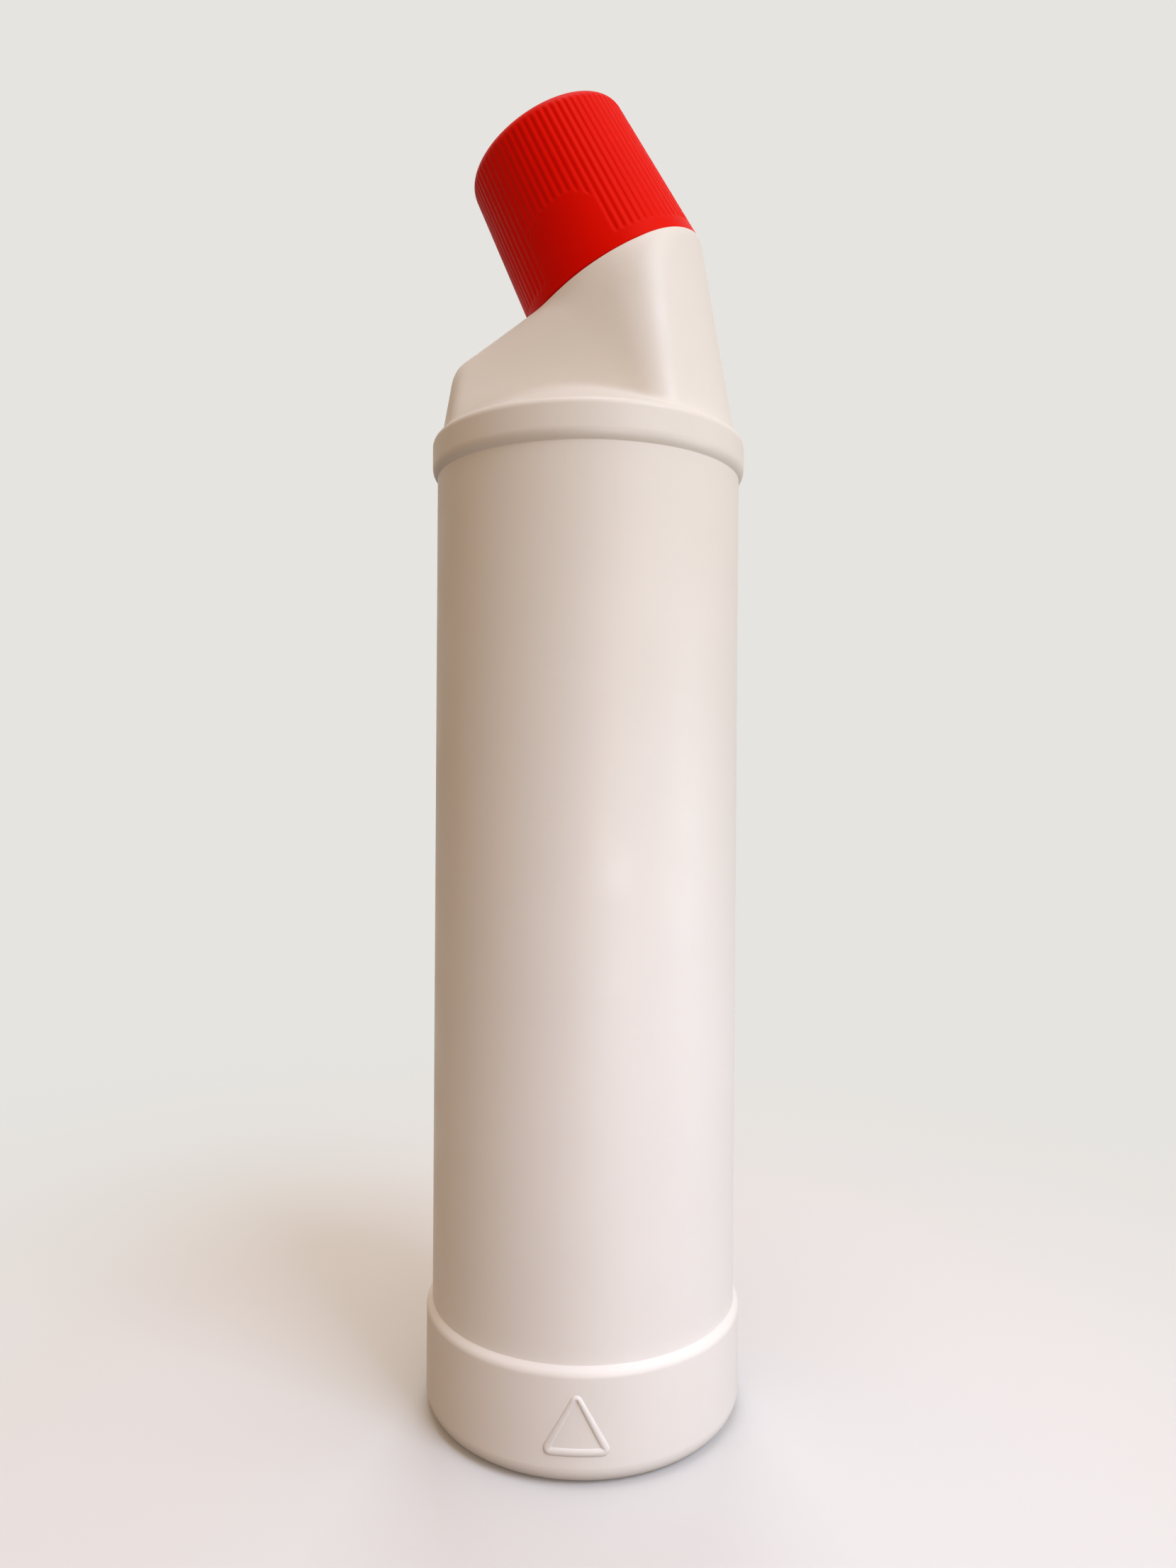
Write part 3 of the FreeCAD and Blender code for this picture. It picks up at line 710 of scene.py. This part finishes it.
# ==== the object =====================================================================
white, red = blow_moulded_hdpe(), injected_polypropylene()
stops = [skin(on_neck(block(NECK_RADIUS - 0.9, STOP_REACH, STOP_WIDTH, -0.6,
                            STOP_HEIGHT, STOP_ANGLE + side))) for side in (0, math.pi)]
lug_outer = CAP_RADIUS - RIB_DEPTH - CAP_WALL + 0.35
lugs = [skin(on_neck(block(LUG_INNER, lug_outer, LUG_WIDTH, LUG_LOW, LUG_HIGH,
                           STOP_ANGLE + LUG_TURN + side))) for side in (0, math.pi)]
piece("bottle", [bottle_skin(), sign_skin()] + stops, "bottle", white)
piece("cap", [cap_skin(), skirt_skin()] + lugs, "cap", red)
piece("nozzle_insert", [nozzle_skin()], "bottle", moulded_ldpe())
piece("cap_liner", [liner_skin()], "liner", pe_foam())


# ==== floor, light and camera ========================================================
PALE = "E6E4E0"


def seen_rays(tree):
    """1 for a ray the eye follows: straight, mirrored or through glass. Otherwise 0."""
    rays = node(tree, "ShaderNodeLightPath").outputs
    share = rays["Is Camera Ray"]
    for other in ("Is Glossy Ray", "Is Transmission Ray"):
        share = node(tree, "ShaderNodeMath", {"operation": "MAXIMUM"},
                     {0: share, 1: rays[other]}).outputs[0]
    return share


def floor():
    """Round pale floor, rings of points turned about Z, whose far part takes on the
    background's own colour."""
    radius = np.array([0.0, 0.05, 0.5, 1.0, 2.0, 4.0])
    ground = turned(np.stack([radius, 0 * radius], 1) / MM, angles(64))
    points = np.concatenate([ground[0, :1], ground[1:].reshape(-1, 3)])
    j = np.arange(64)
    k = (j + 1) % 64
    i = np.arange(4)[:, None] * 64 + 1
    quads = np.stack([i + j, i + 64 + j, i + 64 + k, i + k], -1).reshape(-1, 4)
    fan = np.stack([0 * j, 1 + j, 1 + k], -1)
    mesh = bpy.data.meshes.new("studio_floor")
    mesh.from_pydata(points * MM, [], quads.tolist() + fan.tolist())
    material, tree, out = empty_material("studio_floor_paper")
    place = node(tree, "ShaderNodeTexCoord").outputs["Object"]
    length = node(tree, "ShaderNodeVectorMath", {"operation": "LENGTH"}, {0: place})
    # it starts 0.1 m out and is whole at 0.42 m, by one over the distance, because that
    # looks even from any height
    near = node(tree, "ShaderNodeMath", {"operation": "DIVIDE"},
                {0: 1.0, 1: length.outputs["Value"]})
    far = node(tree, "ShaderNodeMapRange", {"interpolation_type": "SMOOTHSTEP"},
               {"Value": near.outputs[0], "From Min": 2.4, "From Max": 9.5,
                "To Min": 1.0, "To Max": 0.0})
    seen = seen_rays(tree)
    share = node(tree, "ShaderNodeMath", {"operation": "MULTIPLY"},
                 {0: far.outputs[0], 1: seen})
    # seen pale, but it throws only a little light back up under the object
    tone = node(tree, "ShaderNodeMix", {"data_type": "RGBA"}, {"Factor": seen})
    tone.inputs[6].default_value = linear("523E2A")
    tone.inputs[7].default_value = linear("E6E9EC")
    paper = node(tree, "ShaderNodeBsdfDiffuse", {}, {"Color": tone.outputs[2]})
    glow = node(tree, "ShaderNodeEmission", {}, {"Color": linear(PALE), "Strength": 1.0})
    mix = node(tree, "ShaderNodeMixShader", {}, {0: share.outputs[0]})
    tree.links.new(paper.outputs[0], mix.inputs[1])
    tree.links.new(glow.outputs[0], mix.inputs[2])
    tree.links.new(mix.outputs[0], out.inputs["Surface"])
    mesh.materials.append(material)
    ground = bpy.data.objects.new("studio_floor", mesh)
    bpy.context.scene.collection.objects.link(ground)


def softbox(name, bearing, rise, distance, size, power, colour):
    """Soft rectangular lamp facing the object's middle. Its bearing is in degrees from
    the front, positive to the right, and its rise in degrees above the middle."""
    lamp = bpy.data.lights.new(name, "AREA")
    lamp.shape, lamp.size, lamp.size_y = "RECTANGLE", size[0], size[1]
    lamp.energy, lamp.color = power, colour
    made = bpy.data.objects.new(name, lamp)
    round_by, up_by = math.radians(bearing), math.radians(rise)
    away = Vector((math.sin(round_by) * math.cos(up_by),
                   -math.cos(round_by) * math.cos(up_by), math.sin(up_by)))
    made.location = Vector((0, 0, 0.14)) + away * distance
    made.rotation_euler = away.to_track_quat("Z", "Y").to_euler()
    bpy.context.scene.collection.objects.link(made)


floor()
softbox("key_right", 45, 40, 1.3, (0.6, 0.6), 8.5, (0.67, 0.79, 1.0))
softbox("overhead", 0, 85, 1.3, (0.6, 0.6), 4.1, (0.76, 0.84, 1.0))
softbox("low_front", 20, -9, 0.5, (0.2, 0.1), 0.7, (1.0, 0.96, 1.0))
softbox("low_right", 75, -3, 0.7, (0.3, 0.2), 1.05, (0.8, 0.92, 1.0))
softbox("back", 180, 30, 1.3, (0.6, 0.6), 4.5, (0.9, 0.95, 1.0))

world = bpy.data.worlds.new("studio")
bpy.context.scene.world = world
world.use_nodes = True
air = world.node_tree
air.nodes.clear()
glow = node(air, "ShaderNodeBackground", {},
            {"Color": (1.0, 0.68, 0.41, 1.0), "Strength": 0.57})
plain = node(air, "ShaderNodeBackground", {}, {"Color": linear(PALE), "Strength": 1.0})
both = node(air, "ShaderNodeMixShader", {}, {0: seen_rays(air)})
air.links.new(glow.outputs[0], both.inputs[1])
air.links.new(plain.outputs[0], both.inputs[2])
air.links.new(both.outputs[0], node(air, "ShaderNodeOutputWorld").inputs["Surface"])

camera = bpy.data.cameras.new("camera")
camera.sensor_width, camera.lens = 36.0, 24.782
camera.clip_start, camera.clip_end = 0.01, 20.0
eye = bpy.data.objects.new("camera", camera)
eye.location = (0.0, -0.24485, 0.13826)
eye.rotation_euler = [math.radians(turn) for turn in (89.804, -0.386, -0.095)]
bpy.context.scene.collection.objects.link(eye)
bpy.context.scene.camera = eye
bpy.context.scene.view_settings.view_transform = "Standard"
